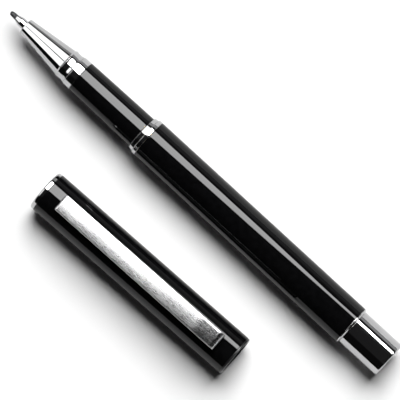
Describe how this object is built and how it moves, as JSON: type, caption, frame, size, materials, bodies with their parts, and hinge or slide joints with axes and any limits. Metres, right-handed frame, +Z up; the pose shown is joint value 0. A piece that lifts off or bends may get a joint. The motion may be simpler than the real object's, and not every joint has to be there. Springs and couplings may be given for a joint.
{
  "type": "rollerball pen",
  "caption": "Slim capped rollerball pen lying uncapped beside its cap: black lacquered grip, barrel and cap with polished chrome nose cone, rings, end plug, crown and flat clip.",
  "frame": {"origin": "middle of the footprint of pen and cap together, on the plane that they lie on", "axes": "+X along the pen from its point to its end plug, +Y from the cap towards the pen, +Z up"},
  "size_m": [0.1206, 0.0356, 0.0134],
  "materials": {
    "chrome": "polished chrome plating on brass",
    "lacquer": "deep gloss black lacquer on brass tube",
    "brass": "turned brass, threaded",
    "black_plastic": "moulded black plastic",
    "refill_plastic": "pale translucent plastic",
    "tip_steel": "dark turned steel",
    "spring_steel": "drawn spring wire",
    "carbide": "ground carbide ball",
    "ink_fibre": "bonded fibre soaked in blue-black ink"
  },
  "bodies": {
    "section": {"nose_cone": "chrome", "nose_ring": "chrome", "section_tube": "lacquer", "threaded_connector": "brass", "section_collar": "chrome"},
    "slip_ring": {"barrel_ring": "chrome"},
    "barrel": {"barrel_tube": "lacquer", "barrel_thread_bush": "brass", "barrel_end_ring": "chrome", "end_plug": "chrome", "plug_core": "black_plastic", "refill_spring": "spring_steel"},
    "refill": {"refill_tube": "refill_plastic", "ink_reservoir": "ink_fibre", "ink_wick": "ink_fibre", "refill_nozzle": "chrome", "refill_tip": "tip_steel", "refill_end_plug": "black_plastic"},
    "ball": {"writing_ball": "carbide"},
    "cap": {"cap_tube": "lacquer", "crown_cap": "chrome", "crown_plug": "black_plastic", "inner_cap": "black_plastic"},
    "clip": {"clip": "chrome"}
  },
  "joints": [
    {"name": "barrel_travel", "type": "slide", "parent": "section", "child": "slip_ring", "axis": [1, 0, 0], "range_m": [0, 0.0045]},
    {"name": "barrel_unscrew", "type": "hinge", "parent": "slip_ring", "child": "barrel", "pos_m": [0, 0.01268, 0.00511], "axis": [1, 0, 0], "range_deg": [0, 2160]},
    {"name": "refill_press", "type": "slide", "parent": "section", "child": "refill", "axis": [1, 0, 0], "range_m": [0, 0.001], "stiffness_N_per_m": 600, "deforming": ["refill_spring"]},
    {"name": "ball_roll", "type": "hinge", "parent": "refill", "child": "ball", "pos_m": [-0.05998, 0.01268, 0.00511], "axis": [0, 1, 0], "continuous": true},
    {"name": "cap_slide", "type": "slide", "parent": "section", "child": "cap", "axis": [-1, 0, 0], "range_m": [0, 0.0955]},
    {"name": "clip_flex", "type": "hinge", "parent": "cap", "child": "clip", "pos_m": [-0.02035, -0.01211, 0.01031], "axis": [0.0178, -0.9986, 0.0506], "range_deg": [0, 3], "stiffness_Nm_per_rad": 3}
  ],
  "couplings": [
    {"joint": "barrel_unscrew", "follows": "barrel_travel", "rad_per_m": 8377.6}
  ]
}
